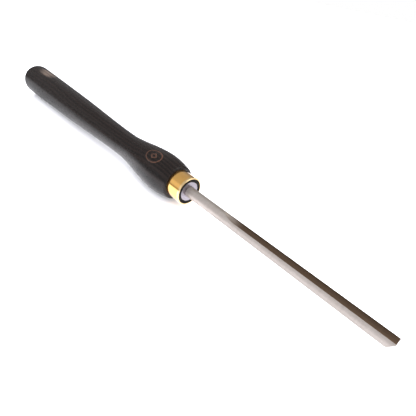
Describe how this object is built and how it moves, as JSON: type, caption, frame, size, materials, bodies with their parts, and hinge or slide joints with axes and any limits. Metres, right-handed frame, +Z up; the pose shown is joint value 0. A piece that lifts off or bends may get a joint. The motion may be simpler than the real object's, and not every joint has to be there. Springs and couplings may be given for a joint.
{
  "type": "woodturning gouge",
  "caption": "Long woodturning gouge: black turned handle with a swell, brass ferrule, steel socket with grub screws, and a round fluted bar with a bevelled square end.",
  "frame": {"origin": "below the middle of the tool's length, on the plane that it lies on", "axes": "+X along the tool towards the cutting edge, +Z up, out of the flute's mouth"},
  "size_m": [0.522, 0.039, 0.039],
  "materials": {
    "ebonised_wood": "black-stained ash under satin lacquer",
    "brass": "polished",
    "socket_steel": "turned and polished",
    "bar_steel": "ground high-speed steel",
    "screw_steel": "black oxide"
  },
  "bodies": {
    "handle": {"handle": "ebonised_wood", "ferrule": "brass", "socket": "socket_steel"},
    "bar": {"bar": "bar_steel"},
    "front_screw": {"front_grub_screw": "screw_steel"},
    "rear_screw": {"rear_grub_screw": "screw_steel"}
  },
  "joints": [
    {"name": "bar_slide", "type": "slide", "parent": "handle", "child": "bar", "axis": [1, 0, 0], "range_m": [0, 0.054]},
    {"name": "front_screw_turn", "type": "hinge", "parent": "handle", "child": "front_screw", "pos_m": [0.06713, 0, 0.0195], "axis": [0, 0, -1], "range_deg": [0, 720]},
    {"name": "rear_screw_turn", "type": "hinge", "parent": "handle", "child": "rear_screw", "pos_m": [0.05937, 0, 0.0195], "axis": [0, 0, -1], "range_deg": [0, 720]}
  ]
}
